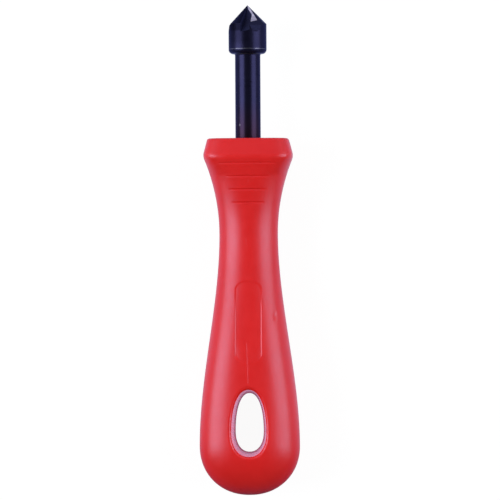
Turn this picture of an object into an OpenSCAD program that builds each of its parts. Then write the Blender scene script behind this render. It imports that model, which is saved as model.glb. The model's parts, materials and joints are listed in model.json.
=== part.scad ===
// Hand countersink: a three-flute 90 degree cutting bit held in a waisted plastic handle.
// Sizes are millimetres. The tool lies on its back, with +Y along it to the cutting tip,
// +Z up out of the front of the handle and z = 0 on the surface that it lies on.

/* [Handle] */
// Length of the handle, from the collar's face to the end of the butt
handle_length = 112.5; // [100:0.5:130]
// Width across the collar at its ring, the widest line round it
collar_width = 28.1; // [25:0.1:32]
// Width of the neck, the narrowest part of the handle
neck_width = 18.4; // [17:0.1:20]
// Depth of the neck from front to back
neck_depth = 14; // [12.5:0.1:17]
// Width across the widest part of the butt
butt_width = 31.6; // [28:0.1:36]
// Depth from front to back, the same at the collar's ring and at the butt
handle_depth = 23; // [21:0.1:26]
// Step in from the collar's ring to the edge of its face
collar_taper = 1.45; // [0.6:0.05:2.5]
// Distance from the collar's face to its ring
ring_at = 4.8; // [3.5:0.1:6.5]
// Length of the rounded edge between the ring and the flare below it
ring_edge = 2.2; // [1.5:0.1:4]
// Distance from the collar's face to the middle of the neck
neck_at = 30; // [26:0.5:36]
// Distance from the collar's face to where the handle is at its full depth again
belly_at = 75; // [70:0.5:85]
// Length of the butt's rounded end, seen from the front
butt_round = 15.5; // [13:0.1:18]
// Length of the butt's rounded end, seen from the side
end_round = 10; // [7:0.1:13]
// Squareness of the collar's section, where 2 is an ellipse
collar_square = 3; // [2.2:0.1:3.6]
// Squareness of the butt's section, where 2 is an ellipse
butt_square = 2.6; // [2.2:0.1:3]

/* [Grip grooves] */
// Number of grooves across the front of the collar
groove_count = 4; // [1:1:4]
// Distance from the collar's face to the first groove
groove_at = 7.2; // [6:0.1:9]
// Distance from one groove to the next
groove_pitch = 4.27; // [2:0.01:4.5]
// Width of a groove
groove_width = 0.5; // [0.3:0.05:1]
// Depth of a groove at its middle
groove_depth = 0.35; // [0.2:0.05:0.6]
// How far the surface falls away between the middle of a groove and its ends
groove_fall = 0.9; // [0.6:0.05:1.4]

/* [Label recess] */
// Width of the bare label recess in the front
label_width = 8.3; // [6:0.1:9]
// Length of the label recess
label_length = 26; // [15:0.5:27]
// Distance from the collar's face to the top of the label recess
label_at = 44.6; // [40:0.1:46]
// Depth of the label recess
label_depth = 0.3; // [0.15:0.05:0.5]
// Length of the arch at each end of the label recess
label_arch = 3; // [1:0.1:5]

/* [Hang hole] */
// Width of the hang hole at its narrowest, halfway through the handle
hole_width = 9.4; // [7:0.1:11]
// Distance from the collar's face to the widest line across the hang hole
hole_at = 92.3; // [90:0.1:95]
// Length of the hang hole above its widest line
hole_above = 12.3; // [8:0.1:14]
// Length of the hang hole below its widest line
hole_below = 6.8; // [5:0.1:8]
// Squareness of the hole's outline, where 2 is an ellipse
hole_square = 2.2; // [2:0.1:2.6]
// How far the hole's wall leans back on its way out to either face
hole_draft = 0.8; // [0.3:0.05:1.2]
// Radius of the rounded rim of the hole
hole_rim = 1.3; // [0.8:0.1:1.6]

/* [Cutting bit] */
// Diameter of the cutting head
head_d = 12; // [10:0.1:13]
// Angle of the cutting cone
cone_angle = 90; // [82:1:100]
// Length of the cutting head, from its tip to its rear face
head_length = 15.45; // [13:0.05:18]
// Radius of the rounded edge at the rear of the head
head_edge = 1.4; // [0.6:0.1:1.8]
// Diameter of the shank
shank_d = 8; // [6:0.1:8.4]
// Radius where the shank runs into the head
shank_fillet = 0.5; // [0.2:0.1:0.8]
// Length of shank to be seen between the head and the handle
shank_length = 26.8; // [15:0.1:40]

/* [Flutes] */
// Number of flutes
flute_count = 3; // [2:1:4]
// Turn of the first cutting edge from the front, to the left
flute_turn = 20.5; // [0:0.5:60]
// Offset of the flute's heel wall from the tool's axis
flute_width = 1.9; // [1.2:0.1:2.4]
// Angle between the flute's cutting face and its heel wall
flute_open = 10; // [4:1:20]
// How far the flute runs out below the cone, along the head
flute_runout = 2.6; // [1:0.1:4]
// Least distance of the flute's floor from the axis
flute_core = 0.4; // [0.3:0.05:0.8]
// Radius of the flute's round floor, seen from the side
flute_wheel = 14; // [12:0.5:16]
// Turn from a cutting edge back to the middle of its ground heel, as a share of the turn from flute to flute
heel_turn = 0.6; // [0.6:0.01:0.64]
// How far the ground heel leans in from the cone
heel_fall = 4.5; // [3.5:0.1:5.5]
// Angle between the axis and the flat below the ground heel
flat_lean = 9.6; // [6:0.1:11]
// How far the flat runs out below the cone, along the head
flat_runout = 2.7; // [1.5:0.1:3]

/* [Fit] */
// Length of shank held in the handle
socket_depth = 30; // [20:0.5:38]
// Length of the flattened tang at the shank's hidden end
tang_length = 14; // [8:0.5:18]
// Thickness of the tang across its two flats
tang_thick = 6; // [4.5:0.1:7]
// Chamfer on the shank's hidden end
tang_chamfer = 0.5; // [0.2:0.1:1]
// Clearance between the shank and its socket, on each side
socket_clearance = 0.02; // [0.01:0.01:0.1]

/* [Hidden] */
$fn = 96;

// How far cutters reach past the surfaces that they cut
over = 1;
// Smallest share of a label recess's width at its tips
label_tip = 0.1;
// Power of the collar's curve from its face out to its ring
collar_curve = 1.7;
// Steps round the handle's sections and round the hang hole
section_sides = 64;
hole_sides = 48;
// Steps across a groove or a label recess
skin_columns = 14;
// Steps along the handle, from the collar's face through its ring, edge, neck and butt to the end
face_steps = 4;
edge_steps = 3;
flare_steps = 10;
grip_steps = 18;
end_steps = 12;
// Steps along the label recess
label_steps = 18;
// Steps round the rim of the hang hole, and the turn at which the rim leaves the surface
rim_steps = 3;
rim_turn = 60;
// Steps round a small rounded edge
edge_arc_steps = 8;
// How a groove runs out: the share of its depth lost at its ends, and the power of that loss
groove_loss = 1.3;
groove_curve = 4;

butt_at = handle_length - butt_round;
cone_height = head_d / 2 / tan(cone_angle / 2);
tip_at = shank_length + head_length;
cone_base = tip_at - cone_height;
tool_length = handle_length + tip_at;
collar_y = handle_length - tool_length / 2;

plastic_red = [0.83, 0.17, 0.17];
blackened_steel = [0.1, 0.1, 0.17];

// Lays the upright tool on its back. Upright, z runs up the tool from the collar's face,
// x is to the right and the front faces -y.
module lay_down() {
    translate([0, collar_y, handle_depth / 2])
        rotate([-90, 0, 0])
            children();
}

function ease(t) = t * t * (3 - 2 * t);
function share(s, from, to) = min(max((s - from) / (to - from), 0), 1);
function steps(from, to, count) = [for (i = [0 : count - 1]) from + (to - from) * i / count];

// Two arcs that meet on one slope: the ring's rounded edge and the flare down to the neck
function flare(s, ring, neck) =
    let (slope = 2 * (ring - neck) / (neck_at - ring_at), edge_end = ring_at + ring_edge)
    s < edge_end
        ? ring - slope * pow(s - ring_at, 2) / (2 * ring_edge)
        : neck + slope * pow(neck_at - s, 2) / (2 * (neck_at - edge_end));

// A half size of the handle at s below the collar's face, before its end is rounded
function along(s, ring, neck, butt, full_at) =
    s < ring_at ? ring - collar_taper * pow(1 - s / ring_at, collar_curve)
    : s < neck_at ? flare(s, ring, neck)
    : neck + (butt - neck) * ease(share(s, neck_at, full_at));

function rounded_end(s, start) = sqrt(1 - pow(share(s, start, handle_length), 2));

function half_width(s) =
    along(s, collar_width / 2, neck_width / 2, butt_width / 2, butt_at) * rounded_end(s, butt_at);

function half_depth(s) =
    along(s, handle_depth / 2, neck_depth / 2, handle_depth / 2, belly_at)
    * rounded_end(s, handle_length - end_round);

function squareness(s) =
    s < neck_at
        ? collar_square + (2 - collar_square) * ease(share(s, ring_at, neck_at))
        : 2 + (butt_square - 2) * ease(share(s, neck_at, belly_at));

// Depth of the handle's skin in front of the axis, x to the side and s below the collar's face
function skin(x, s) =
    let (n = squareness(s))
    half_depth(s) * pow(max(1 - pow(abs(x) / half_width(s), n), 0), 1 / n);

// A closed skin over rings of points, each listed the same way round, with ends closed rung by rung
module loft(rings) {
    count = len(rings);
    sides = len(rings[0]);
    last = (count - 1) * sides;
    walls = [
        for (k = [0 : count - 2], i = [0 : sides - 1])
            let (a = k * sides, b = a + sides, j = (i + 1) % sides)
            each [[a + i, a + j, b + j], [a + i, b + j, b + i]]
    ];
    rungs = [for (i = [0 : sides / 2 - 2]) [i, i + 1, sides - 2 - i, sides - 1 - i]];
    ends = [
        for (q = rungs)
            each [
                [q[0], q[2], q[1]], [q[0], q[3], q[2]],
                [last + q[0], last + q[1], last + q[2]], [last + q[0], last + q[2], last + q[3]]
            ]
    ];
    polyhedron([for (ring = rings) each ring], concat(walls, ends));
}

function section(s) =
    let (a = half_width(s), b = half_depth(s), n = squareness(s))
    [
        for (i = [0 : section_sides - 1])
            let (turn = 360 * i / section_sides)
            let (r = pow(pow(abs(cos(turn)) / a, n) + pow(abs(sin(turn)) / b, n), -1 / n))
            [r * cos(turn), r * sin(turn), -s]
    ];

module handle_body() {
    end_turn = 90 * (1 - 1 / (2 * end_steps));
    stations = concat(
        steps(0, ring_at, face_steps),
        steps(ring_at, ring_at + ring_edge, edge_steps),
        steps(ring_at + ring_edge, neck_at, flare_steps),
        steps(neck_at, butt_at, grip_steps),
        [for (i = [0 : end_steps - 1]) butt_at + butt_round * sin(90 * i / end_steps)],
        [butt_at + butt_round * sin(end_turn)]
    );
    loft([for (s = stations) section(s)]);
}

// A cutter that follows the front skin: rows are [s, half width], sunk(x, half width) is its depth
module skin_cutter(rows, sunk) {
    loft([
        for (row = rows)
            let (s = row[0], half = row[1])
            let (xs = [for (i = [0 : skin_columns]) half * (2 * i / skin_columns - 1)])
            concat(
                [for (x = xs) [x, -skin(x, s) - over, -s]],
                [for (i = [skin_columns : -1 : 0]) [xs[i], sunk(xs[i], half) - skin(xs[i], s), -s]]
            )
    ]);
}

// A groove runs out through the skin near its ends
module groove(at) {
    n = squareness(at);
    fall = 1 - groove_fall / half_depth(at);
    half = half_width(at) * pow(1 - pow(fall, n), 1 / n);
    fade = function (x, half) groove_depth * (1 - groove_loss * pow(x / half, groove_curve));
    skin_cutter([for (side = [-1, 1]) [at + side * groove_width / 2, half]], fade);
}

module label_recess() {
    ends = label_at + label_length;
    arch = function (s)
        let (near = min(s - label_at, ends - s) / label_arch)
        label_width / 2 * (near < 1 ? max(sqrt(1 - pow(1 - near, 2)), label_tip) : 1);
    rows = concat(
        [for (i = [0 : edge_arc_steps - 1]) label_at + label_arch * (1 - cos(90 * i / edge_arc_steps))],
        steps(label_at + label_arch, ends - label_arch, label_steps),
        [for (i = [0 : edge_arc_steps]) ends - label_arch * (1 - sin(90 * i / edge_arc_steps))]
    );
    level = function (x, half) label_depth;
    skin_cutter([for (s = rows) [s, arch(s)]], level);
}

// Outline of the hang hole, grown evenly, as points [x, s]
function hole_outline(grow) = [
    for (i = [0 : hole_sides - 1])
        let (turn = 360 * i / hole_sides, power = 2 / hole_square)
        let (x = sign(cos(turn)) * pow(abs(cos(turn)), power), up = pow(abs(sin(turn)), power))
        [
            x * (hole_width / 2 + grow),
            hole_at + (sin(turn) > 0 ? -up * (hole_above + grow) : up * (hole_below + grow))
        ]
];

// The hole narrows to halfway through and opens at each face in a rounded rim
module hang_hole() {
    rim_out = hole_draft + hole_rim * (1 - cos(rim_turn));
    rim_up = hole_rim * (1 - sin(rim_turn));
    rim = [
        for (i = [0 : rim_steps])
            let (turn = rim_turn * i / rim_steps)
            [hole_draft + hole_rim * (1 - cos(turn)), hole_rim * (1 - sin(turn))]
    ];
    mouth = [for (p = hole_outline(rim_out + (over + rim_up) * tan(rim_turn))) [p[0], -p[1]]];
    face = function (level, side)
        [for (p = hole_outline(level[0])) [p[0], side * (skin(p[0], p[1]) - level[1]), -p[1]]];
    loft(concat(
        [[for (p = mouth) [p[0], -handle_depth / 2 - over, p[1]]]],
        [for (k = [rim_steps : -1 : 0]) face(rim[k], -1)],
        [[for (p = hole_outline(0)) [p[0], 0, -p[1]]]],
        [for (k = [0 : rim_steps]) face(rim[k], 1)],
        [[for (p = mouth) [p[0], handle_depth / 2 + over, p[1]]]]
    ));
}

// The shank's hidden length with its flattened tang, grown by a clearance to make the socket
module held_shank(clearance) {
    r = shank_d / 2 + clearance;
    foot = -socket_depth - clearance;
    tang_top = tang_length - socket_depth + clearance;
    intersection() {
        union() {
            translate([0, 0, tang_top])
                cylinder(r = r, h = -tang_top);
            translate([-tang_thick / 2 - clearance, -shank_d, foot])
                cube([tang_thick + 2 * clearance, 2 * shank_d, tang_top - foot + over]);
        }
        rotate_extrude()
            polygon([
                [0, foot], [r - tang_chamfer, foot], [r, foot + tang_chamfer], [r, 0], [0, 0]
            ]);
    }
}

// The handle is cut one feature at a time, from its socket to its label recess
module socketed_body() {
    difference() {
        handle_body();
        held_shank(socket_clearance);
    }
}

module pierced_body() {
    difference() {
        socketed_body();
        hang_hole();
    }
}

module grooved_body() {
    difference() {
        pierced_body();
        for (i = [0 : groove_count - 1])
            groove(groove_at + groove_pitch * i);
    }
}

module handle() {
    color(plastic_red)
        lay_down()
            difference() {
                grooved_body();
                label_recess();
            }
}

// Half outline of the head, before its point is ground, and of the shank in view
module bit_blank() {
    r = shank_d / 2;
    edge = [
        for (i = [0 : edge_arc_steps])
            let (turn = 90 * i / edge_arc_steps)
            [head_d / 2 - head_edge * (1 - cos(turn)), shank_length + head_edge * (1 - sin(turn))]
    ];
    fillet = [
        for (i = [0 : edge_arc_steps])
            let (turn = 90 * i / edge_arc_steps)
            [r + shank_fillet * (1 - sin(turn)), shank_length - shank_fillet * (1 - cos(turn))]
    ];
    rotate_extrude()
        polygon(concat([[0, tip_at], [head_d / 2, cone_base]], edge, fillet, [[r, 0], [0, 0]]));
}

// One flute, as a grinding wheel leaves it: its cutting face lies in a plane through the axis,
// its heel wall leans away from that, and its round floor runs out below the cone
module flute() {
    reach = head_d;
    floor_end = cone_base - flute_runout;
    heel = flute_width / cos(flute_open);
    wheel_out = flute_core + flute_wheel;
    wheel_up = floor_end + sqrt(pow(flute_wheel, 2) - pow(wheel_out - head_d / 2, 2));
    intersection() {
        translate([0, 0, floor_end - over])
            linear_extrude(height = tip_at - floor_end + 2 * over)
                polygon([[0, 0], [0, reach], [heel + reach * tan(flute_open), reach], [heel, 0]]);
        translate([-over, wheel_out, wheel_up])
            rotate([0, 90, 0])
                cylinder(r = flute_wheel, h = heel + reach);
    }
}

// All that lies outside a plane, which leans from the axis and crosses the given radius at the given height
module outside(lean, radius, height) {
    translate([0, radius, height])
        rotate([lean, 0, 0])
            translate([-head_d, 0, -2 * head_d])
                cube([2 * head_d, head_d, 3 * head_d]);
}

// Places a cutter at each cutting edge, and at the middle of the ground heel behind each edge
module at_edges() {
    for (i = [0 : flute_count - 1])
        rotate([0, 0, 180 - flute_turn + 360 * i / flute_count])
            children();
}

module at_heels() {
    at_edges()
        rotate([0, 0, -360 * heel_turn / flute_count])
            children();
}

// The head is ground one feature at a time: its flutes, its heels and the flats below its heels
module fluted_blank() {
    difference() {
        bit_blank();
        at_edges()
            mirror([1, 0, 0])
                flute();
    }
}

module heeled_blank() {
    difference() {
        fluted_blank();
        at_heels()
            outside(cone_angle / 2 - heel_fall, 0, tip_at);
    }
}

module countersink_bit() {
    color(blackened_steel)
        lay_down() {
            difference() {
                heeled_blank();
                at_heels()
                    outside(flat_lean, head_d / 2, cone_base - flat_runout);
            }
            held_shank(0);
        }
}

handle();
countersink_bit();
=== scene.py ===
"""Hand countersink lying on its back on a white table, seen from above.

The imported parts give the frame: +Y runs along the tool to its tip and +Z up out of the front.
The handle is rebuilt here as a finer moulding on the part's sizes, and the bit keeps the shape of its
part. Sizes and places are named in millimetres, and everything goes to Blender in metres.
"""

import json
import math

import bpy
import numpy as np
from mathutils import Matrix, Vector
from mathutils.geometry import delaunay_2d_cdt

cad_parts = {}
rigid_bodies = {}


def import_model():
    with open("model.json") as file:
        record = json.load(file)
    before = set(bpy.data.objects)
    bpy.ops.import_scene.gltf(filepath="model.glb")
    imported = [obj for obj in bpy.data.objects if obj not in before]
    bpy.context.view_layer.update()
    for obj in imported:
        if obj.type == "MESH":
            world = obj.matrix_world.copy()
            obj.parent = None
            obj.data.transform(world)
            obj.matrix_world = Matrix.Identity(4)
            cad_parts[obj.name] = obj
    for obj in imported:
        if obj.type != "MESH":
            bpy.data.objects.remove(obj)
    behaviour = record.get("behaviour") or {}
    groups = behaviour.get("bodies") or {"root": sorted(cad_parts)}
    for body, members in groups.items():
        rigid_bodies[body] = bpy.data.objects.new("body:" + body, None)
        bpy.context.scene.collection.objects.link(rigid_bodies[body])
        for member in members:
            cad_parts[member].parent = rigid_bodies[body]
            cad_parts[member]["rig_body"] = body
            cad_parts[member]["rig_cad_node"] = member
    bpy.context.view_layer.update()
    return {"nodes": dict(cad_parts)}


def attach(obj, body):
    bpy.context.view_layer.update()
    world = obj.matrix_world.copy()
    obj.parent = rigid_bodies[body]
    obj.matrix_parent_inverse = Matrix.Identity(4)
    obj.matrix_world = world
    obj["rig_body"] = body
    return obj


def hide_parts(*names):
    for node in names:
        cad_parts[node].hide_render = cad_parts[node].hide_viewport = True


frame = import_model()

MM = 0.001

# Sizes as in the part's source. On the handle, s runs down from the collar's face to the butt
HANDLE_LENGTH, TIP_Y = 112.5, 77.375
COLLAR_HALF, NECK_HALF, BUTT_HALF = 14.05, 9.2, 15.8
DEEP_HALF, NECK_DEEP_HALF = 11.5, 7.0
BUTT_ROUND = 15.5
NECK_AT, BELLY_AT, BUTT_AT = 30.0, 75.0, HANDLE_LENGTH - BUTT_ROUND
COLLAR_SQUARE, BUTT_SQUARE = 3.0, 2.6
GROOVE_COUNT, GROOVE_FALL, GROOVE_LOSS, GROOVE_CURVE = 4, 0.9, 1.3, 4
LABEL_HALF, LABEL_FROM, LABEL_LENGTH, LABEL_ARCH, LABEL_DEPTH = 4.15, 44.6, 26.0, 3.0, 0.3
LABEL_TO = LABEL_FROM + LABEL_LENGTH
HOLE_HALF, HOLE_AT, HOLE_ABOVE, HOLE_BELOW, HOLE_SQUARE = 4.7, 92.3, 12.3, 6.8, 2.2
HOLE_DRAFT = 0.8
SHANK_R, SHANK_HELD, CLEARANCE = 4.0, 30.0, 0.02
SOCKET_R, SOCKET_DEPTH = SHANK_R + CLEARANCE, SHANK_HELD + CLEARANCE
HEAD_R = 6.0
# The tool lies on its back, with the middle of its length at the origin
COLLAR_Y, AXIS_Z = HANDLE_LENGTH - TIP_Y, DEEP_HALF

# The finer collar: its ring in width and in depth, the taper above the ring, and how its edges are rounded
RING_AT, DEEP_RING_AT = 5.2, 5.6
COLLAR_SLOPE = 0.263
RING_TOP, RING_EDGE, DEEP_CRISP = 0.9, 1.5, 0.6
FACE_EDGE = 0.5
# How much squarer the collar is than the part's and where that ends, and how the butt's end is rounded
SQUARE_MORE, SQUARE_TO = 1.7, 12.0
END_AT, END_POWER = 95.0, 2.1

# The finer grooves across the front
GROOVE_FIRST, GROOVE_PITCH = 7.8, 4.13
GROOVE_DEPTH, GROOVE_SPREAD = 0.24, 0.42
GROOVES_AT = [GROOVE_FIRST + GROOVE_PITCH * i for i in range(GROOVE_COUNT)]

# The label recess: its soft step, the rise of its floor at the lower end and its shallower upper end
LABEL_SOFT, LABEL_SOFT_TOP, LABEL_OUT = 0.55, 0.4, 0.2
LABEL_RISE, LABEL_RISE_FROM, LABEL_RISE_TO = 0.9, 8.0, 0.6
LABEL_TOP_SHARE, LABEL_TOP_LONG = 0.42, 12.0

# The hang hole: its rounded rim, more draft at its top, and a ridge of flash halfway through
HOLE_RIM, HOLE_TOP_MORE = 1.1, 1.3
RIM_OUT = HOLE_DRAFT + HOLE_RIM
FLASH_HIGH, FLASH_SPREAD = 0.28, 0.75

# The chamfer of the socket's mouth
MOUTH = 0.25

# The mould's parting line at the sides, and where it fades in and out
SEAM_HIGH, SEAM_WIDE = 0.05, 0.11
SEAM_STARTS, SEAM_ENDS = (0.6, 1.6), (109.0, 111.5)

# Fine raised lines on the front, each from x, s to x, s with its height
LINES = [
    (-0.50, 64.0, 0.0, 78.6, 0.045),  # weld line above the hang hole
    (0.15, 0.6, 0.15, 34.0, 0.007),  # flow line down the collar
    (0.25, 12.6, 0.28, 14.4, 0.045),  # scratches
    (-0.75, 31.0, -0.45, 33.0, 0.032),
    (-0.40, 32.4, -0.10, 34.4, 0.026),
]
LINE_HALF, LINE_FADE = 0.11, 0.6
# A shallow ding beside the label recess: its place, half sizes and depth
DING_X, DING_S, DING_HALF_X, DING_HALF_S, DING_DEPTH = 8.3, 55.9, 0.5, 1.3, 0.31

# How finely the moulding is divided: steps along it, and its columns across the front
COLLAR_END, RING_BAND = 8.0, 0.6
STEP_COLLAR, STEP_GRIP, STEP_LABEL, STEP_LEAST = 0.2, 0.7, 0.16, 0.02
RING_ROWS, GROOVE_ROWS, EDGE_ROWS, BUTT_ROWS = 19, 17, 9, 44
RING_REACH, GROOVE_REACH, LABEL_REACH = (-0.5, 0.7), (-0.48, 0.48), (-0.3, 0.4)
LAST_TURN = math.radians(89.3)
MIDDLE_HALF, MIDDLE_COLUMNS = 0.9, 27
INNER_COLUMNS = np.arange(1.26, 3.6, 0.42)
LABEL_COLUMNS = LABEL_HALF + np.linspace(-0.42, 0.28, 13)
OUTER_COLUMNS = [4.7, 5.1, 5.5]
SEAM_COLUMNS, SEAM_CLEAR = np.array([0.32, 0.22, 0.14, 0.07]), 1.6
SIDE_COLUMNS = 24
FACE_LOOPS = (0.12, 0.35, 0.6, 0.8, 0.93, 0.985)
# The hang hole's points round its outline, its rows, and the filled patch between its rim and the skin
HOLE_SIDES, RIM_ROWS, PATCH_WIDE = 144, 11, 0.22
WALL_PART, WALL_ROWS, FLASH_PART, FLASH_ROWS = 0.36, 5, 0.12, 17
# Distances over which slopes are measured
SLOPE_STEP, NORMAL_STEP = 4e-3, 1e-3

# Places on the handle for its finish, in the part's frame: the hole's middle, and the edges of its wall
HOLE_Y = -54.4
WALL_ACROSS, WALL_ALONG = (6.8, 7.2), (12.2, 12.6)
WORN_ALONG = (-60.0, -20.0)

# Places along the bit where its edges are painted lighter as edge highlights, behind the head and at its
# foot, with half widths
EDGE_HIGHLIGHT_BANDS = [(63.42, 0.14), (61.9, 0.16)]
# Places along the bit where its look changes: painted red bounce light near the handle, then duller and
# darker up the head, with painted shade on one side
RED_BOUNCE_ALONG = (35.5, 47.0)
DULL_ALONG, DARK_ALONG, SIDE_ALONG, CONE_ALONG = (61.8, 63.0), (64.2, 66.0), (68.9, 69.5), (71.2, 71.6)
DARK_ACROSS = (-0.5, 0.8)
LIGHT_SPOT_AT, LIGHT_SPOT_FADES = (-2.56, 39.42, 14.57), (0.15, 0.42)
# The bare strip on each ground heel: lines as a slope and an offset, seen from above with the tip as origin
STRIP_TURNS = (0, 120, 240)
STRIP_RIDGE, STRIP_FOOT, STRIP_LEFT, STRIP_LEFT_MOST = (0.59, 0.23), (0.262, 5.78), (0.33, -0.1), 1.16
STRIP_EDGE, STRIP_DARKER = (-0.03, 0.03), (3.4, 5.6)
# How the bit's faces are told apart: a heel's tilt in degrees and flatness, and a flute's depth and reach
HEEL_TILT, HEEL_FLAT = (46, 60), 0.004
FLUTE_BELOW, FLUTE_LONG = 0.08, 9.5

# Half the table's width in metres
TABLE_HALF = 40.0
# Where the table's reflection is painted darker beyond the butt and painted with red bounce light below the
# hang hole
SHINE_ALONG, TINT_ALONG = (-82.0, -50.0), (-50.0, -45.0)
TINT_ACROSS, TINT_NEAR = (7.0, 10.0), (12.0, 15.0)

# The view: a little to +X round the tool and slightly rolled. Its distance and width are in metres
VIEW_TURN, VIEW_ROLL = math.radians(1.6), math.radians(-0.32)
CAMERA_AWAY, FRAME_WIDE = 1.1, 0.158
SENSOR_WIDE, CAMERA_SHIFT = 36.0, 0.4
# Two soft boxes: name, turn from straight up in degrees and power in watts. Their sizes are in metres
LAMPS = [("left_box", -57, 4.0), ("right_box", 57, 3.15)]
LAMP_AWAY, LAMP_SIZE, LAMP_SHIFT = 0.62, (0.50, 0.44), 0.02
LAMP_COLOUR = (0.90, 0.94, 1.0)


def ease(t):
    return t * t * (3 - 2 * t)


def share(s, start, end):
    """How far s is from start to end, from 0 to 1."""
    return np.clip((s - start) / (end - start), 0, 1)


def unit(v):
    return v / np.maximum(np.linalg.norm(v, axis=-1, keepdims=True), 1e-12)


def flare(s, ring, neck, ring_at, crisp):
    """A half size from the ring to the neck: a rounded edge, then one curve that ends level at the neck."""
    slope = 2 * (ring - neck) / (NECK_AT - ring_at)
    edge_end = ring_at + RING_EDGE * crisp
    edge = ring - slope * (s - ring_at) ** 2 / (2 * RING_EDGE * crisp)
    return np.where(s < edge_end, edge, neck + slope * (NECK_AT - s) ** 2 / (2 * (NECK_AT - edge_end)))


def along(s, ring, neck, butt, full_at, ring_at, crisp):
    """A half size of the handle at s, before its end is rounded."""
    above, top = ring_at - s, RING_TOP * crisp
    face = ring - COLLAR_SLOPE * np.where(above < top, above**2 / (2 * top), above - top / 2)
    face = face - FACE_EDGE + np.sqrt(np.maximum(FACE_EDGE**2 - np.maximum(FACE_EDGE - s, 0) ** 2, 0))
    grip = neck + (butt - neck) * ease(share(s, NECK_AT, full_at))
    return np.where(s < ring_at, face, np.where(s < NECK_AT, flare(s, ring, neck, ring_at, crisp), grip))


def rounded_end(s, start):
    return np.maximum(1 - share(s, start, HANDLE_LENGTH) ** END_POWER, 1e-8) ** (1 / END_POWER)


def half_width(s):
    full = along(s, COLLAR_HALF, NECK_HALF, BUTT_HALF, BUTT_AT, RING_AT, 1)
    return full * rounded_end(s, BUTT_AT)


def half_depth(s):
    full = along(s, DEEP_HALF, NECK_DEEP_HALF, DEEP_HALF, BELLY_AT, DEEP_RING_AT, DEEP_CRISP)
    return full * rounded_end(s, END_AT)


def squareness(s):
    """The power of the handle's section at s: 2 is an ellipse, and more is squarer."""
    upper = COLLAR_SQUARE + (2 - COLLAR_SQUARE) * ease(share(s, RING_AT, NECK_AT))
    upper = upper + SQUARE_MORE * (1 - ease(share(s, RING_AT, SQUARE_TO)))
    lower = 2 + (BUTT_SQUARE - 2) * ease(share(s, NECK_AT, BELLY_AT))
    return np.where(s < NECK_AT, upper, lower)


def skin(x, s):
    """How far the plain front stands above the tool's axis at x, s."""
    n = squareness(s)
    return half_depth(s) * np.maximum(1 - (np.abs(x) / half_width(s)) ** n, 0) ** (1 / n)


def base_normal(x, z, s):
    """Outward normal of the plain moulding, as parts along x, s and z."""

    def level(at):
        n = squareness(at)
        return (np.abs(x) / half_width(at)) ** n + (np.abs(z) / half_depth(at)) ** n

    n, a, b = squareness(s), half_width(s), half_depth(s)
    low, high = np.maximum(s - NORMAL_STEP, 0), np.minimum(s + NORMAL_STEP, HANDLE_LENGTH)
    nx = np.sign(x) * n / a * (np.abs(x) / a) ** (n - 1)
    nz = np.sign(z) * n / b * (np.abs(z) / b) ** (n - 1)
    ns = (level(high) - level(low)) / (high - low)
    return np.stack([nx, ns, nz], -1)


def label_sunk(x, s):
    """How deep the bare label recess is at x, s, with a soft step at its outline."""
    near = np.minimum(s - LABEL_FROM, LABEL_TO - s)
    end = np.clip(1 - near / LABEL_ARCH, 0, None)
    arch = (1 - np.sqrt((x / LABEL_HALF) ** 2 + end**2)) * (LABEL_HALF + LABEL_ARCH) / 2
    inside = LABEL_HALF - np.abs(x)
    inside = np.where(near < LABEL_ARCH, np.minimum(inside, arch), inside)
    middle = np.maximum(1 - (x / LABEL_HALF) ** 4, 0)
    soft = LABEL_SOFT + LABEL_SOFT_TOP * (1 - share(s, LABEL_FROM, LABEL_FROM + LABEL_ARCH)) * middle
    # The floor rises to the skin towards the lower end, so only the sides of that end show
    rise = LABEL_RISE * ease(share(s, LABEL_TO - LABEL_RISE_FROM, LABEL_TO - LABEL_RISE_TO)) * middle
    # Its upper end is shallower, so the arch there is faint
    from_top = ease(share(s, LABEL_FROM, LABEL_FROM + LABEL_TOP_LONG))
    deep = LABEL_TOP_SHARE + (1 - LABEL_TOP_SHARE) * from_top
    return LABEL_DEPTH * deep * (1 - rise) * ease(np.clip((inside + LABEL_OUT) / soft, 0, 1))


def groove_sunk(x, s):
    """How deep the grip grooves are at x, s. Each fades out towards its ends."""
    sunk = np.zeros(np.broadcast(x, s).shape)
    for at in GROOVES_AT:
        n = squareness(at)
        half = half_width(at) * (1 - (1 - GROOVE_FALL / half_depth(at)) ** n) ** (1 / n)
        fade = np.clip(1 - GROOVE_LOSS * (x / half) ** GROOVE_CURVE, 0, 1)
        across = np.cos(np.clip((s - at) / GROOVE_SPREAD, -1, 1) * math.pi / 2) ** 2
        sunk = sunk + GROOVE_DEPTH * fade * across
    return sunk


def marks_sunk(x, s):
    """How deep the small marks are at x, s: a shallow ding, and raised lines, which count below zero."""
    sunk = DING_DEPTH * np.exp(-(((x - DING_X) / DING_HALF_X) ** 2) - ((s - DING_S) / DING_HALF_S) ** 2)
    for x0, s0, x1, s1, high in LINES:
        at = x0 + (x1 - x0) * share(s, s0, s1)
        ends = ease(share(s, s0, s0 + LINE_FADE)) * (1 - ease(share(s, s1 - LINE_FADE, s1)))
        sunk = sunk - high * ends * np.exp(-(((x - at) / LINE_HALF) ** 2))
    return sunk


def front_sunk(x, s):
    return label_sunk(x, s) + groove_sunk(x, s) + marks_sunk(x, s)


def to_part(x, s, z):
    """Points from the handle's own x, s and z into the part's frame, in metres."""
    return np.stack([x, COLLAR_Y - s, AXIS_Z + z], -1) * MM


def part_normal(n):
    """Normals from the handle's own x, s and z into the part's frame."""
    return unit(np.stack([n[..., 0], -n[..., 1], n[..., 2]], -1))


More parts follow.
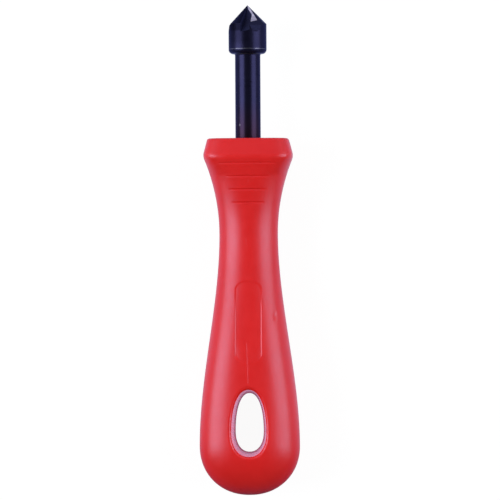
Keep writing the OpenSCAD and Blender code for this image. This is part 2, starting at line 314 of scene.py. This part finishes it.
def hole_outline(grow):
    """Outline of the hang hole, grown by some millimetres, as x and s."""
    turn = np.arange(HOLE_SIDES) * 2 * math.pi / HOLE_SIDES
    power = 2 / HOLE_SQUARE
    c, d = np.cos(turn), np.sin(turn)
    x = np.sign(c) * np.abs(c) ** power * (HOLE_HALF + grow)
    up = np.abs(d) ** power
    above, below = HOLE_ABOVE + grow * HOLE_TOP_MORE, HOLE_BELOW + grow
    return x, HOLE_AT + np.where(d > 0, -up * above, up * below)


def in_hole(x, s, grow):
    """Whether x, s lies inside the hang hole's outline, grown by some millimetres."""
    tall = np.where(s < HOLE_AT, HOLE_ABOVE + grow * HOLE_TOP_MORE, HOLE_BELOW + grow)
    wide = HOLE_HALF + grow
    return (np.abs(x) / wide) ** HOLE_SQUARE + (np.abs(s - HOLE_AT) / tall) ** HOLE_SQUARE < 1


class Shell:
    """Points, normals and faces of one closed mesh, collected piece by piece."""

    def __init__(self):
        self.points, self.normals, self.faces = [], [], []

    def add(self, points, normals):
        """Adds points in a grid of any shape, and gives their numbers in that shape."""
        start = len(self.points)
        self.points.extend(map(tuple, points.reshape(-1, 3)))
        self.normals.extend(map(tuple, normals.reshape(-1, 3)))
        return np.arange(start, len(self.points)).reshape(points.shape[:-1])

    def bridge(self, a, b):
        """Quads between two closed loops of the same length."""
        a2, b2 = np.roll(a, -1), np.roll(b, -1)
        self.faces.extend(zip(a.tolist(), a2.tolist(), b2.tolist(), b.tolist()))

    def close(self, loop, point, normal):
        """Triangles from a closed loop to one point."""
        end = self.add(point, normal)
        self.faces.extend((a, b, end) for a, b in zip(loop, np.roll(loop, -1)))

    def build(self, name, material):
        mesh = bpy.data.meshes.new(name)
        mesh.from_pydata(self.points, [], [tuple(int(i) for i in face) for face in self.faces])
        mesh.validate()
        mesh.polygons.foreach_set("use_smooth", np.ones(len(mesh.polygons), bool))
        mesh.normals_split_custom_set_from_vertices(self.normals)
        mesh.materials.append(material)
        obj = bpy.data.objects.new(name, mesh)
        bpy.context.scene.collection.objects.link(obj)
        return obj


def stations():
    """Distances below the collar's face at which the handle's rings lie, closer where there is detail."""
    edge_turn = np.linspace(0, math.pi / 2, EDGE_ROWS)
    end_turn = np.linspace(0, LAST_TURN, BUTT_ROWS)
    parts = [
        FACE_EDGE * (1 - np.cos(edge_turn)),
        np.linspace(FACE_EDGE, RING_AT - RING_BAND, EDGE_ROWS),
        np.arange(RING_AT - RING_BAND, COLLAR_END, STEP_COLLAR),
        RING_AT + np.linspace(*RING_REACH, RING_ROWS),
        np.arange(COLLAR_END, BUTT_AT, STEP_GRIP),
        np.arange(LABEL_FROM + LABEL_REACH[0], LABEL_FROM + LABEL_ARCH, STEP_LABEL),
        np.arange(LABEL_TO - LABEL_ARCH, LABEL_TO + LABEL_REACH[1], STEP_LABEL),
        BUTT_AT + (HANDLE_LENGTH - BUTT_AT) * np.sin(end_turn),
    ]
    parts += [at + np.linspace(*GROOVE_REACH, GROOVE_ROWS) for at in GROOVES_AT]
    every = np.unique(np.round(np.concatenate(parts), 4))
    return every[np.concatenate([[True], np.diff(every) > STEP_LEAST])]


def columns():
    """Where the columns of the front lie, as x at full width, closer at the label recess's edges."""
    half = np.concatenate([INNER_COLUMNS, LABEL_COLUMNS, OUTER_COLUMNS])
    return np.concatenate([-half[::-1], np.linspace(-MIDDLE_HALF, MIDDLE_HALF, MIDDLE_COLUMNS), half])


def ring_points(s):
    """One ring from its right edge over the front to the left and back below: x, z and the front's count."""
    a, b, n = float(half_width(s)), float(half_depth(s)), float(squareness(s))
    scale = 1.0 if s <= BUTT_AT else a / float(half_width(BUTT_AT))
    xs = columns()[::-1] * scale
    zs = skin(xs, np.full_like(xs, s))
    edge = math.atan2(zs[0], xs[0])
    fine = SEAM_COLUMNS / max(a, 1.0) * scale
    rise = np.linspace(fine[0] * SEAM_CLEAR, edge, SIDE_COLUMNS)[:-1]
    turn = np.concatenate([[0.0], fine[::-1], rise])
    r = (np.abs(np.cos(turn) / a) ** n + np.abs(np.sin(turn) / b) ** n) ** (-1 / n)
    side_x, side_z = r * np.cos(turn), r * np.sin(turn)
    x = np.concatenate([side_x, xs, -side_x[::-1]])
    z = np.concatenate([side_z, zs, side_z[::-1]])
    return np.concatenate([x, x[-2:0:-1]]), np.concatenate([z, -z[-2:0:-1]]), len(x)


def handle_rings():
    """The plain moulding as a grid of rings: x, s and z of each point, and whether it is on the front."""
    ss = stations()
    rings = [ring_points(s) for s in ss]
    x = np.array([ring[0] for ring in rings])
    z = np.array([ring[1] for ring in rings])
    s = np.repeat(ss[:, None], x.shape[1], 1)
    front = np.arange(x.shape[1])[None, :] < rings[0][2]
    return x, s, z, front


def detailed_skin(x, s, z, front):
    """Points and normals of the rings, with the front's recesses and marks and the sides' parting line."""
    normal = base_normal(x, z, s)
    # The recesses and marks move the front along its depth
    sunk = np.where(front, front_sunk(x, s), 0)
    change_x = front_sunk(x + SLOPE_STEP, s) - front_sunk(x - SLOPE_STEP, s)
    change_s = front_sunk(x, s + SLOPE_STEP) - front_sunk(x, s - SLOPE_STEP)
    normal[..., 0] += normal[..., 2] * np.where(front, change_x, 0) / (2 * SLOPE_STEP)
    normal[..., 1] += normal[..., 2] * np.where(front, change_s, 0) / (2 * SLOPE_STEP)
    # The parting line stands out at the sides
    fade = share(s, *SEAM_STARTS) * (1 - share(s, *SEAM_ENDS))
    at_side = np.abs(x) > 0.5 * np.abs(x).max(1, keepdims=True)
    high = SEAM_HIGH * fade * np.exp(-((z / SEAM_WIDE) ** 2)) * at_side
    normal[..., 2] += np.abs(normal[..., 0]) * high * 2 * z / SEAM_WIDE**2
    return to_part(x + np.sign(x) * high, s, z - sunk), part_normal(normal)


def add_skin(shell, ids, x, s, z):
    """The skin's faces. Those left out round the hang hole are given back, for the front and for the back."""
    gone = in_hole(x, s, RIM_OUT + PATCH_WIDE)
    rows, count = ids.shape
    left_out = {True: [], False: []}
    for k in range(rows - 1):
        for j in range(count):
            q = (j + 1) % count
            corners = ((k, j), (k, q), (k + 1, q), (k + 1, j))
            face = tuple(int(ids[c]) for c in corners)
            if any(gone[c] for c in corners):
                left_out[bool(z[k, j] + z[k + 1, q] > 0)].append(face)
            else:
                shell.faces.append(face)
    return left_out


def hole_rim(side):
    """Rows of the hang hole's rounded rim from the skin to the wall, on the front (1) or the back (-1)."""
    rows = []
    for turn in np.linspace(math.pi / 2, 0, RIM_ROWS):
        grow, sink = HOLE_DRAFT + HOLE_RIM * (1 - math.cos(turn)), HOLE_RIM * (1 - math.sin(turn))
        x, s = hole_outline(grow)
        rows.append(np.stack([x, s, side * (skin(x, s) - sink)], -1))
    return rows


def hole_grid():
    """Rows of the hang hole from its front rim to its back rim. Its wall narrows to the flash halfway."""
    front, back = hole_rim(1), hole_rim(-1)[::-1]
    z_front, z_back = front[-1][:, 2], back[0][:, 2]
    near_front = np.linspace(0, WALL_PART, WALL_ROWS)[1:]
    near_middle = 0.5 + np.linspace(-FLASH_PART, FLASH_PART, FLASH_ROWS)
    near_back = np.linspace(1 - WALL_PART, 1, WALL_ROWS)[:-1]
    wall = []
    for through in np.concatenate([near_front, near_middle, near_back]):
        from_middle = 1 - 2 * through
        flash = FLASH_HIGH * math.exp(-((from_middle * z_front.mean() / FLASH_SPREAD) ** 2))
        x, s = hole_outline(HOLE_DRAFT * abs(from_middle) - flash)
        wall.append(np.stack([x, s, z_front * (1 - through) + z_back * through], -1))
    return np.array(front + wall + back)


def hole_normals(grid):
    """Normals of the hole's rows, which point into it. Those of its outer edges are the skin's own."""
    around = np.roll(grid, -1, 1) - np.roll(grid, 1, 1)
    normal = np.cross(np.gradient(grid, axis=0), around)
    for row in (0, -1):
        x, s, z = grid[row].T
        normal[row] = base_normal(x, z, s)
    return part_normal(normal)


def open_edge(faces):
    """The outer edge of some faces, as one closed loop of point numbers."""
    edges = {}
    for face in faces:
        for a, b in zip(face, face[1:] + face[:1]):
            edges[a, b] = True
    border = {a: b for a, b in edges if (b, a) not in edges}
    loop = [next(iter(border))]
    while border[loop[-1]] != loop[0]:
        loop.append(border[loop[-1]])
    return loop


def inside_polygon(x, y, polygon):
    """Whether a point lies inside a closed outline, by counting the edges to its right."""
    px, py = polygon[:, 0], polygon[:, 1]
    qx, qy = np.roll(px, -1), np.roll(py, -1)
    crosses = (py > y) != (qy > y)
    with np.errstate(divide="ignore", invalid="ignore"):
        at = px + (y - py) / (qy - py) * (qx - px)
    return bool((crosses & (x < at)).sum() % 2)


def fill_patch(shell, edge, rim, where, front):
    """Triangles between the skin's open edge and the hole's rim, with where giving each point's x and s."""
    numbers = edge + rim
    flat = [where[i] for i in numbers]
    m, k = len(edge), len(rim)
    bonds = [(i, (i + 1) % m) for i in range(m)] + [(m + i, m + (i + 1) % k) for i in range(k)]
    points = [Vector(map(float, p)) for p in flat]
    _, _, triangles, origin, _, _ = delaunay_2d_cdt(points, bonds, [], 0, 1e-7)
    outline = np.array(flat[:m])
    for triangle in triangles:
        who = [origin[i][0] for i in triangle]
        corners = np.array([flat[i] for i in who])
        x, s = corners.mean(0)
        across_hole = in_hole(x, s, RIM_OUT - 1e-6) and all(i >= m for i in who)
        if across_hole or not inside_polygon(x, s, outline):
            continue
        (ax, ay), (bx, by) = corners[1:] - corners[0]
        face = [numbers[i] for i in who]
        # s runs down the tool, so a front face turns the other way in x and s
        shell.faces.append(tuple(face if (ax * by - bx * ay < 0) == front else face[::-1]))


def add_hole(shell, ids, x, s, left_out):
    """The hang hole's rims and wall, and the patches that join them to the skin."""
    grid = hole_grid()
    hole_ids = shell.add(to_part(*np.moveaxis(grid, -1, 0)), hole_normals(grid))
    for upper, lower in zip(hole_ids, hole_ids[1:]):
        shell.bridge(upper, lower)
    where = dict(zip(ids.ravel().tolist(), zip(x.ravel(), s.ravel())))
    for front, row in ((True, 0), (False, -1)):
        rim = hole_ids[row].tolist()
        where.update(zip(rim, grid[row, :, :2]))
        fill_patch(shell, open_edge(left_out[front]), rim, where, front)


def add_socket(shell, ring, x, z):
    """The collar's face, which runs in from the first ring, and the socket with its chamfered mouth."""
    turn = np.arctan2(z, x)
    level = np.zeros_like(turn)
    up = np.tile([0.0, 1.0, 0.0], (len(turn), 1))
    inward = np.stack([-np.cos(turn), level, -np.sin(turn)], -1)
    lean = unit(inward + up)

    def circle(r, s):
        return to_part(r * np.cos(turn), level + s, r * np.sin(turn))

    mouth = SOCKET_R + MOUTH
    loops = []
    for f in FACE_LOOPS:
        face_x, face_z = x * (1 - f) + mouth * np.cos(turn) * f, z * (1 - f) + mouth * np.sin(turn) * f
        loops.append((to_part(face_x, level, face_z), up))
    loops.append((circle(mouth, 0.0), unit(lean + up)))
    loops.append((circle(SOCKET_R, MOUTH), unit(lean + inward)))
    loops.append((circle(SOCKET_R, SOCKET_DEPTH), inward))
    for points, normals in loops:
        new = shell.add(points, normals)
        shell.bridge(new, ring)
        ring = new
    shell.close(ring[::-1], to_part(0.0, SOCKET_DEPTH, 0.0), np.array([0.0, 1.0, 0.0]))


def handle_shell():
    """The whole handle as one closed mesh."""
    shell = Shell()
    x, s, z, front = handle_rings()
    ids = shell.add(*detailed_skin(x, s, z, front))
    left_out = add_skin(shell, ids, x, s, z)
    add_hole(shell, ids, x, s, left_out)
    shell.close(ids[-1], to_part(0.0, HANDLE_LENGTH, 0.0), np.array([0.0, -1.0, 0.0]))
    add_socket(shell, ids[0], x[0], z[0])
    return shell


class Nodes:
    """A short way to build a material's node tree."""

    def __init__(self, name):
        self.material = bpy.data.materials.new(name)
        self.material.use_nodes = True
        self.tree = self.material.node_tree
        self.tree.nodes.clear()
        self.out = self.add("ShaderNodeOutputMaterial")

    def add(self, kind, **settings):
        """A new node. A setting that starts with in_ is the value of an input."""
        node = self.tree.nodes.new(kind)
        for key, value in settings.items():
            if key.startswith("in_"):
                node.inputs[key[3:].replace("_", " ")].default_value = value
            else:
                setattr(node, key, value)
        return node

    def link(self, a, b):
        self.tree.links.new(a, b)

    def place(self):
        """Where a point is on the object itself, in metres."""
        return self.add("ShaderNodeTexCoord").outputs["Object"]

    def split(self, vector):
        node = self.add("ShaderNodeSeparateXYZ")
        self.link(vector, node.inputs[0])
        return node.outputs["X"], node.outputs["Y"], node.outputs["Z"]

    def vector_math(self, operation, vector, at):
        """A vector set against a fixed place in millimetres."""
        node = self.add("ShaderNodeVectorMath", operation=operation)
        self.link(vector, node.inputs[0])
        node.inputs[1].default_value = Vector(at) * MM
        return node

    def math(self, operation, a, b=None, c=None, clamp=False):
        node = self.add("ShaderNodeMath", operation=operation, use_clamp=clamp)
        for socket, value in zip(node.inputs, (a, b, c)):
            if value is None:
                continue
            if isinstance(value, (int, float)):
                socket.default_value = value
            else:
                self.link(value, socket)
        return node.outputs[0]

    def off(self, value, at):
        """How far a place along one axis is from a place in millimetres, either way."""
        return self.math("ABSOLUTE", self.math("SUBTRACT", value, at * MM))

    def blend(self, a, b, part):
        """A weighted sum of two values, with part of b."""
        return self.math("ADD", self.math("MULTIPLY", a, 1 - part), self.math("MULTIPLY", b, part))

    def mix(self, factor, a, b):
        """A colour between two others, whose sockets on the node are 6 and 7, with the result at 2."""
        node = self.add("ShaderNodeMix", data_type="RGBA")
        for at, value in ((0, factor), (6, a), (7, b)):
            if isinstance(value, tuple):
                node.inputs[at].default_value = (*value, 1)
            else:
                self.link(value, node.inputs[at])
        return node.outputs[2]

    def noise(self, vector, scale, detail=3.0, rough=0.5, stretch=None):
        node = self.add("ShaderNodeTexNoise", in_Scale=scale, in_Detail=detail, in_Roughness=rough)
        if stretch is not None:
            mapping = self.add("ShaderNodeMapping", in_Scale=stretch)
            self.link(vector, mapping.inputs["Vector"])
            vector = mapping.outputs[0]
        self.link(vector, node.inputs["Vector"])
        return node.outputs["Fac"]

    def spread(self, value, given, wanted):
        """A value that goes over the wanted range while another goes over a given one."""
        node = self.add("ShaderNodeMapRange", clamp=True)
        for name, limit in zip(("From Min", "From Max", "To Min", "To Max"), (*given, *wanted)):
            node.inputs[name].default_value = limit
        self.link(value, node.inputs["Value"])
        return node.outputs["Result"]

    def fade(self, place, band, wanted):
        """A value that goes over the wanted range along a band of places in millimetres."""
        return self.spread(place, (band[0] * MM, band[1] * MM), wanted)

    def ramp(self, value, stops):
        node = self.add("ShaderNodeValToRGB")
        elements = node.color_ramp.elements
        for element, (at, colour) in zip(elements, stops):
            element.position = at
            element.color = (*colour, 1)
        self.link(value, node.inputs["Fac"])
        return node.outputs["Color"]

    def bump(self, height, distance, strength, normal=None):
        """A bump of some millimetres."""
        node = self.add("ShaderNodeBump", in_Strength=strength, in_Distance=distance * MM)
        self.link(height, node.inputs["Height"])
        if normal is not None:
            self.link(normal, node.inputs["Normal"])
        return node.outputs["Normal"]

    def surface(self, **values):
        shader = self.add("ShaderNodeBsdfPrincipled")
        for key, value in values.items():
            socket = shader.inputs[key.replace("_", " ")]
            if isinstance(value, (int, float, tuple)):
                socket.default_value = value
            else:
                self.link(value, socket)
        self.link(shader.outputs[0], self.out.inputs["Surface"])
        return self.material


def red_plastic():
    """Moulded plastic: one red with faint flow marks, a fine skin and light rubbing."""
    m = Nodes("red_plastic_skin")
    place = m.place()
    x, y, _ = m.split(place)
    cloud = m.noise(place, scale=420, detail=3)
    flow = m.blend(m.noise(place, scale=55, detail=2), cloud, 0.3)
    colour = m.ramp(flow, [(0.3, (0.63, 0.0075, 0.0052)), (0.7, (0.69, 0.0112, 0.0082))])
    rub = m.noise(place, scale=900, detail=5, rough=0.65)
    rough = m.spread(m.blend(cloud, rub, 0.5), (0.3, 0.7), (0.33, 0.43))
    # The wall of the hang hole was shaped by a polished core, so it is smoother
    facing = m.split(m.add("ShaderNodeNewGeometry").outputs["Normal"])[2]
    wall = m.spread(m.math("ABSOLUTE", facing), (0.78, 0.93), (1, 0))
    wall = m.math("MULTIPLY", wall, m.fade(m.math("ABSOLUTE", x), WALL_ACROSS, (1, 0)))
    wall = m.math("MULTIPLY", wall, m.fade(m.off(y, HOLE_Y), WALL_ALONG, (1, 0)))
    rough = m.math("SUBTRACT", rough, m.math("MULTIPLY", wall, 0.22))
    # The grain is stronger towards the butt
    worn = m.fade(y, WORN_ALONG, (1, 0.35))
    grain = m.math("MULTIPLY", m.noise(place, scale=2100, detail=3, rough=0.6), worn)
    fine = m.bump(grain, distance=0.05, strength=0.45)
    waves = m.noise(place, scale=210, detail=2)
    return m.surface(
        Base_Color=colour, Roughness=rough, IOR=1.56, Specular_Tint=(0.70, 0.76, 1.0, 1),
        Normal=m.bump(waves, distance=0.12, strength=0.16, normal=fine),
        Subsurface_Weight=0.25, Subsurface_Radius=(1.0, 0.15, 0.12), Subsurface_Scale=0.005,
    )


def oxide_colour(m, place):
    """The black skin's uneven tone, and its colour."""
    cloud = m.noise(place, scale=260, detail=4, rough=0.6)
    return cloud, m.ramp(cloud, [(0.3, (0.0105, 0.0100, 0.030)), (0.7, (0.0145, 0.0138, 0.039))])


def blackened_steel():
    """Turned steel with a black oxide skin: fine rings and an uneven tone, with painted highlights at two
    edges, painted red bounce light near the handle and painted shade on one side of the head.
    """
    m = Nodes("black_oxide")
    place = m.place()
    x, y, _ = m.split(place)
    cloud, colour = oxide_colour(m, place)
    # Lighter bands behind the head and at its foot: painted highlights for the edges there
    painted_edge_highlight = 0
    for at, half in EDGE_HIGHLIGHT_BANDS:
        painted_edge_highlight = m.math("MAXIMUM", painted_edge_highlight, m.fade(m.off(y, at), (half * 0.4, half), (1, 0)))
    patchy = m.spread(m.noise(place, scale=900, detail=2), (0.35, 0.6), (0.25, 1))
    colour = m.mix(m.math("MULTIPLY", painted_edge_highlight, patchy), colour, (0.12, 0.12, 0.16))
    # Towards the handle the black is tinted red, as painted bounce light from the handle, and a small spot on
    # the shank is lighter
    colour = m.mix(m.fade(y, RED_BOUNCE_ALONG, (0.85, 0)), colour, (0.024, 0.0105, 0.021))
    from_light_spot = m.vector_math("DISTANCE", place, LIGHT_SPOT_AT).outputs["Value"]
    colour = m.mix(m.fade(from_light_spot, LIGHT_SPOT_FADES, (1, 0)), colour, (0.10, 0.09, 0.12))
    # The head is darker, darkest on its cone; the extra darkening on one side of the head and of its end is
    # painted shade
    left = m.fade(x, DARK_ACROSS, (1, 0))
    cone = m.fade(y, CONE_ALONG, (0, 0.55))
    shaded_side = m.math("MULTIPLY", m.fade(y, SIDE_ALONG, (0, 0.75)), left)
    head = m.math("MULTIPLY", m.fade(y, DARK_ALONG, (0, 1)), m.math("MULTIPLY_ADD", left, 0.4, 0.05))
    darker = m.math("ADD", head, m.math("MAXIMUM", cone, shaded_side), clamp=True)
    colour = m.mix(darker, colour, (0.002, 0.002, 0.008))
    rings = m.noise(place, scale=700, detail=3, rough=0.7, stretch=(0.12, 9.0, 0.12))
    rough = m.spread(m.blend(cloud, rings, 0.5), (0.3, 0.7), (0.25, 0.34))
    # The head is ground, so a little duller than the shank
    rough = m.math("ADD", rough, m.fade(y, DULL_ALONG, (0, 0.05)))
    return m.surface(
        Base_Color=colour, Metallic=0.8, Roughness=rough,
        Normal=m.bump(rings, distance=0.02, strength=0.3),
        Specular_IOR_Level=0.2, Specular_Tint=(0.50, 0.50, 0.70, 1),
    )


def flute_oxide():
    """The milled flutes: the same black skin on a duller cut, with faint lines along it."""
    m = Nodes("flute_oxide")
    lines = m.noise(m.place(), scale=520, detail=3, rough=0.6, stretch=(4.0, 0.6, 4.0))
    colour = m.ramp(lines, [(0.3, (0.0085, 0.0095, 0.036)), (0.7, (0.0135, 0.0145, 0.050))])
    rough = m.spread(lines, (0.3, 0.7), (0.42, 0.54))
    return m.surface(
        Base_Color=colour, Metallic=0.25, Roughness=rough,
        Normal=m.bump(lines, distance=0.02, strength=0.3),
        Specular_IOR_Level=0.2, Specular_Tint=(0.50, 0.50, 0.70, 1),
    )


def bare_strip(m, from_tip, turn):
    """A mask of the bare strip on one heel, which is turned round the axis by some degrees."""
    spun = m.add("ShaderNodeVectorRotate", rotation_type="Y_AXIS", in_Angle=math.radians(turn))
    m.link(from_tip, spun.inputs["Vector"])
    x, y, z = m.split(spun.outputs[0])
    down = m.math("MULTIPLY", y, -1)
    ridge = m.math("SUBTRACT", m.math("MULTIPLY_ADD", down, STRIP_RIDGE[0], STRIP_RIDGE[1] * MM), x)
    foot = m.math("SUBTRACT", STRIP_FOOT[1] * MM, m.math("MULTIPLY_ADD", x, STRIP_FOOT[0], down))
    left = m.math("MULTIPLY_ADD", down, STRIP_LEFT[0], STRIP_LEFT[1] * MM)
    left = m.math("MINIMUM", left, STRIP_LEFT_MOST * MM)
    inside = m.math("MINIMUM", m.math("MINIMUM", ridge, foot), m.math("SUBTRACT", x, left))
    return m.fade(m.math("MINIMUM", inside, z), STRIP_EDGE, (0, 1))


def ground_steel():
    """The heels behind the cutting edges: black, with a bare ground strip that has lines across it."""
    m = Nodes("ground_steel")
    place = m.place()
    from_tip = m.vector_math("SUBTRACT", place, (0, TIP_Y, AXIS_Z)).outputs[0]
    bare = 0
    for turn in STRIP_TURNS:
        bare = m.math("MAXIMUM", bare, bare_strip(m, from_tip, turn))
    lines = m.noise(place, scale=170, detail=3, rough=0.7, stretch=(0.3, 9.0, 0.3))
    # Its foot is darker
    down = m.math("MULTIPLY", m.split(from_tip)[1], -1)
    tone = m.math("SUBTRACT", lines, m.fade(down, STRIP_DARKER, (0, 0.28)))
    steel = m.ramp(tone, [(0.15, (0.24, 0.205, 0.24)), (0.65, (0.68, 0.61, 0.66))])
    colour = m.mix(bare, oxide_colour(m, place)[1], steel)
    rough = m.spread(lines, (0.3, 0.7), (0.24, 0.38))
    return m.surface(
        Base_Color=colour, Metallic=1.0, Roughness=rough,
        Normal=m.bump(lines, distance=0.03, strength=0.4),
    )


def bit_finish(mesh, face, tip):
    """Which finish a face of the bit has: 1 on the ground heels, 2 in the milled flutes and 0 elsewhere."""
    out = face.normal
    tilt = math.degrees(math.acos(max(-1, min(1, out.y))))
    places = [face.center] + [mesh.vertices[i].co for i in face.vertices]
    through_tip = all(abs((place - tip).dot(out)) < HEEL_FLAT * MM for place in places)
    if through_tip and HEEL_TILT[0] < tilt < HEEL_TILT[1]:
        return 1
    down = tip.y - face.center.y
    below = min(down, HEAD_R * MM) - math.hypot(face.center.x, face.center.z - tip.z)
    return 2 if below > FLUTE_BELOW * MM and down < FLUTE_LONG * MM else 0


def cutting_bit(*finishes):
    """A copy of the bit's part in its own shape, with one of the finishes on each face."""
    node = frame["nodes"]["countersink_bit"]
    obj = node.copy()
    obj.data = node.data.copy()
    obj.name = obj.data.name = "cutting_bit"
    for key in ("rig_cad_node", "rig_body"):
        if key in obj:
            del obj[key]
    obj.parent = None
    obj.data.materials.clear()
    for material in finishes:
        obj.data.materials.append(material)
    tip = Vector((0, TIP_Y, AXIS_Z)) * MM
    for face in obj.data.polygons:
        face.material_index = bit_finish(obj.data, face, tip)
    bpy.context.scene.collection.objects.link(obj)
    return obj


def table_material():
    """White table. The camera and mirrors see it near white, and it keeps the tool's shadow."""
    m = Nodes("white_table")
    path = m.add("ShaderNodeLightPath")
    seen = m.math("ADD", path.outputs["Is Camera Ray"], path.outputs["Is Glossy Ray"], clamp=True)
    seen = m.math("ADD", seen, path.outputs["Is Transmission Ray"], clamp=True)
    plain = m.add("ShaderNodeBsdfDiffuse", in_Color=(0.32, 0.32, 0.32, 1))
    pale = m.add("ShaderNodeBsdfDiffuse", in_Color=(0.075, 0.075, 0.075, 1))
    glow = m.add("ShaderNodeEmission", in_Strength=0.945)
    # In reflections the table is a cool white, with painted shade beyond the butt, which shows only as the
    # tool reflects it
    x, y, _ = m.split(m.place())
    painted_shine = m.mix(m.fade(y, SHINE_ALONG, (0, 1)), (0.07, 0.05, 0.15), (0.62, 0.70, 1.0))
    # Below the hang hole its reflection is painted with red bounce light, with painted shade at its upper end
    below_hole = m.math(
        "MULTIPLY",
        m.fade(m.math("ABSOLUTE", x), TINT_ACROSS, (1, 0)),
        m.fade(m.off(y, HOLE_Y), TINT_NEAR, (1, 0)),
    )
    bounced = m.mix(m.fade(y, TINT_ALONG, (0, 1)), (1.0, 0.58, 0.90), (0.42, 0.20, 0.40))
    painted_shine = m.mix(below_hole, painted_shine, bounced)
    m.link(m.mix(path.outputs["Is Glossy Ray"], (1.0, 1.0, 1.0), painted_shine), glow.inputs["Color"])
    both = m.add("ShaderNodeAddShader")
    m.link(pale.outputs[0], both.inputs[0])
    m.link(glow.outputs[0], both.inputs[1])
    mix = m.add("ShaderNodeMixShader")
    m.link(seen, mix.inputs[0])
    m.link(plain.outputs[0], mix.inputs[1])
    m.link(both.outputs[0], mix.inputs[2])
    m.link(mix.outputs[0], m.out.inputs["Surface"])
    return m.material


def make_table():
    """The flat table that the tool lies on."""
    corners = [(x * TABLE_HALF, y * TABLE_HALF, 0) for x, y in ((-1, -1), (1, -1), (1, 1), (-1, 1))]
    mesh = bpy.data.meshes.new("table")
    mesh.from_pydata(corners, [], [(0, 1, 2, 3)])
    mesh.materials.append(table_material())
    table = bpy.data.objects.new("table", mesh)
    bpy.context.scene.collection.objects.link(table)


def make_world():
    """A dim room with a pale wall beyond the tool's tip."""
    world = bpy.data.worlds.new("room")
    bpy.context.scene.world = world
    world.use_nodes = True
    tree = world.node_tree
    tree.nodes.clear()
    where = tree.nodes.new("ShaderNodeTexCoord")
    split = tree.nodes.new("ShaderNodeSeparateXYZ")
    ramp = tree.nodes.new("ShaderNodeValToRGB")
    back = tree.nodes.new("ShaderNodeBackground")
    out = tree.nodes.new("ShaderNodeOutputWorld")
    tree.links.new(where.outputs["Generated"], split.inputs[0])
    tree.links.new(split.outputs["Y"], ramp.inputs["Fac"])
    tree.links.new(ramp.outputs["Color"], back.inputs["Color"])
    tree.links.new(back.outputs[0], out.inputs["Surface"])
    ramp.color_ramp.interpolation = "EASE"
    room, wall = ramp.color_ramp.elements
    room.position, room.color = 0.35, (0.15, 0.145, 0.125, 1)
    wall.position, wall.color = 0.80, (0.80, 0.80, 0.86, 1)


def put(name, data, right, up, back, place):
    """A camera or lamp at a place, by its own three axes."""
    obj = bpy.data.objects.new(name, data)
    bpy.context.scene.collection.objects.link(obj)
    obj.matrix_world = Matrix.Translation(place) @ Matrix((right, up, back)).transposed().to_4x4()
    return obj


def make_lamp(name, turn_deg, power):
    """A soft box beside the tool, turned from straight above towards +X, facing the tool."""
    lamp = bpy.data.lights.new(name, "AREA")
    lamp.shape = "RECTANGLE"
    lamp.size, lamp.size_y = LAMP_SIZE
    lamp.energy = power
    lamp.color = LAMP_COLOUR
    turn = math.radians(turn_deg) + VIEW_TURN
    away = Vector((math.sin(turn), 0, math.cos(turn)))
    side = Vector((math.cos(turn), 0, -math.sin(turn)))
    centre = Vector((0, LAMP_SHIFT, AXIS_Z * MM)) + away * LAMP_AWAY
    put(name, lamp, side, Vector((0, 1, 0)), away, centre)


def make_camera():
    """Straight above, turned a little to +X round the tool's length, with the photo's slight roll."""
    data = bpy.data.cameras.new("camera")
    data.sensor_width = SENSOR_WIDE
    data.lens = SENSOR_WIDE * CAMERA_AWAY / FRAME_WIDE
    data.clip_start, data.clip_end = 0.01, 200
    back = Vector((math.sin(VIEW_TURN), 0, math.cos(VIEW_TURN)))
    level_up = Vector((0, 1, 0))
    level_right = level_up.cross(back)
    right = level_right * math.cos(VIEW_ROLL) + level_up * math.sin(VIEW_ROLL)
    up = level_up * math.cos(VIEW_ROLL) - level_right * math.sin(VIEW_ROLL)
    target = Vector((CAMERA_SHIFT, 0.0, AXIS_Z)) * MM
    bpy.context.scene.camera = put("camera", data, right, up, back, target + back * CAMERA_AWAY)


grip = handle_shell().build("moulded_handle", red_plastic())
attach(grip, "root")
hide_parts("handle")

bit = cutting_bit(blackened_steel(), ground_steel(), flute_oxide())
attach(bit, "root")
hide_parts("countersink_bit")

make_table()
make_world()
for lamp_name, lamp_turn, lamp_power in LAMPS:
    make_lamp(lamp_name, lamp_turn, lamp_power)
make_camera()
bpy.context.scene.view_settings.view_transform = "Standard"

bpy.context.view_layer.update()
